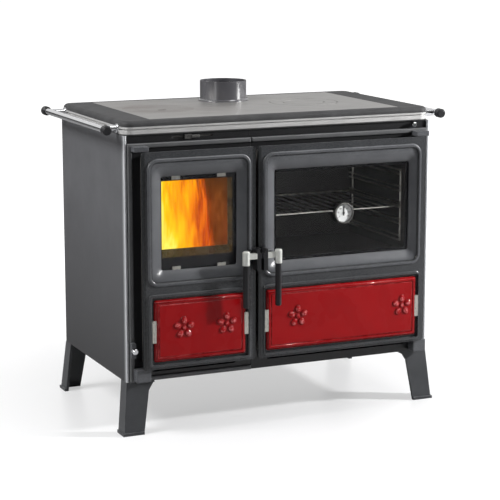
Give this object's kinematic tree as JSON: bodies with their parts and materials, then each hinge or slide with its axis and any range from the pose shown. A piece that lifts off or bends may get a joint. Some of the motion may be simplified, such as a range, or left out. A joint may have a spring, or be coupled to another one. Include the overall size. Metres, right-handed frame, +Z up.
{
  "type": "wood-burning cooking stove",
  "caption": "Free-standing cast-iron cooker with a firebox, an oven, two tall doors with enamel panels, a hob with a lift-out ring, and a flue spigot.",
  "frame": {"origin": "on the floor, in the middle of the whole stove's footprint", "axes": "+X to the right as seen from the front, along the stove's width; +Y from the doors to the back; +Z up"},
  "size_m": [1.03, 0.629, 0.908],
  "materials": {
    "sheet_anthracite": "satin powder coat",
    "casting_anthracite": "satin stove paint on cast iron",
    "hob_polished": "ground and oiled",
    "chrome": "polished",
    "black_metal": "satin black",
    "enamel_red": "glossy vitreous enamel",
    "steel_bright": "brushed",
    "glass": "clear ceramic glass",
    "rope_seal": "woven glass-fibre rope",
    "firebrick": "dry refractory",
    "inner_steel": "matt heat-proof paint",
    "dial_white": "matt white"
  },
  "bodies": {
    "stove": {"side_panel_left": "sheet_anthracite", "side_panel_right": "sheet_anthracite", "back_panel": "sheet_anthracite", "base_plate": "sheet_anthracite", "front_frame_left": "casting_anthracite", "front_frame_right": "casting_anthracite", "leg_front_left": "casting_anthracite", "leg_front_right": "casting_anthracite", "leg_back_left": "casting_anthracite", "leg_back_right": "casting_anthracite", "leg_bolts": "steel_bright", "hob_frame": "casting_anthracite", "hob_plate": "hob_polished", "flue_collar": "casting_anthracite", "rail_left": "chrome", "rail_right": "chrome", "rail_caps": "black_metal", "rail_brackets": "chrome", "firebox_shell": "inner_steel", "firebrick_lining": "firebrick", "fire_grate": "inner_steel", "ash_runners": "inner_steel", "ash_drawer": "inner_steel", "oven_box": "inner_steel", "storage_box": "inner_steel", "oven_runners": "chrome", "oven_rack": "chrome", "flue_divider": "inner_steel", "damper_seat": "inner_steel", "primary_air_bracket": "casting_anthracite", "hinge_brackets_left": "casting_anthracite", "hinge_brackets_right": "casting_anthracite", "latch_keeper": "black_metal"},
    "hob_ring": {"hob_ring": "hob_polished"},
    "hob_disc": {"hob_disc": "hob_polished"},
    "bypass_damper": {"bypass_damper": "chrome"},
    "secondary_air_slider": {"secondary_air_slider": "chrome"},
    "primary_air_knob": {"primary_air_knob": "chrome"},
    "fire_door": {"fire_door_casting": "casting_anthracite", "fire_door_gasket": "rope_seal", "fire_door_glass": "glass", "fire_glass_clips": "steel_bright", "fire_door_inner_plate": "inner_steel", "fire_enamel_panel": "enamel_red", "fire_panel_clips": "steel_bright"},
    "oven_door": {"oven_door_casting": "casting_anthracite", "oven_door_gasket": "rope_seal", "oven_door_glass": "glass", "oven_door_inner_plate": "inner_steel", "oven_enamel_panel": "enamel_red", "oven_panel_clips": "steel_bright", "thermometer_case": "chrome", "thermometer_dial": "dial_white"},
    "thermometer_needle": {"thermometer_needle": "black_metal"},
    "fire_latch": {"fire_latch_lever": "chrome", "fire_latch_grip": "black_metal", "fire_latch_hook": "black_metal"},
    "oven_latch": {"oven_latch_lever": "chrome", "oven_latch_grip": "black_metal", "oven_latch_hook": "black_metal"}
  },
  "joints": [
    {"name": "fire_door_hinge", "type": "hinge", "parent": "stove", "child": "fire_door", "pos_m": [-0.412, -0.2525, 0.4775], "axis": [0, 0, -1], "range_deg": [0, 100]},
    {"name": "oven_door_hinge", "type": "hinge", "parent": "stove", "child": "oven_door", "pos_m": [0.412, -0.2525, 0.4775], "axis": [0, 0, 1], "range_deg": [0, 100]},
    {"name": "fire_latch_turn", "type": "hinge", "parent": "fire_door", "child": "fire_latch", "pos_m": [-0.1245, -0.29, 0.478], "axis": [0, 1, 0], "range_deg": [0, 60]},
    {"name": "oven_latch_turn", "type": "hinge", "parent": "oven_door", "child": "oven_latch", "pos_m": [-0.0645, -0.29, 0.478], "axis": [0, -1, 0], "range_deg": [0, 60]},
    {"name": "hob_ring_lift", "type": "slide", "parent": "stove", "child": "hob_ring", "axis": [0, 0, 1], "range_m": [0, 0.06]},
    {"name": "hob_disc_lift", "type": "slide", "parent": "hob_ring", "child": "hob_disc", "axis": [0, 0, 1], "range_m": [0, 0.06]},
    {"name": "bypass_pull", "type": "slide", "parent": "stove", "child": "bypass_damper", "axis": [0, -1, 0], "range_m": [0, 0.06]},
    {"name": "secondary_air_slide", "type": "slide", "parent": "stove", "child": "secondary_air_slider", "axis": [1, 0, 0], "range_m": [-0.04, 0.04]},
    {"name": "primary_air_pull", "type": "slide", "parent": "stove", "child": "primary_air_knob", "axis": [0, -1, 0], "range_m": [0, 0.015]},
    {"name": "thermometer_needle_turn", "type": "hinge", "parent": "oven_door", "child": "thermometer_needle", "pos_m": [0.1675, -0.2725, 0.572], "axis": [0, 1, 0], "range_deg": [-125, 125], "stiffness_Nm_per_rad": 0.001}
  ]
}
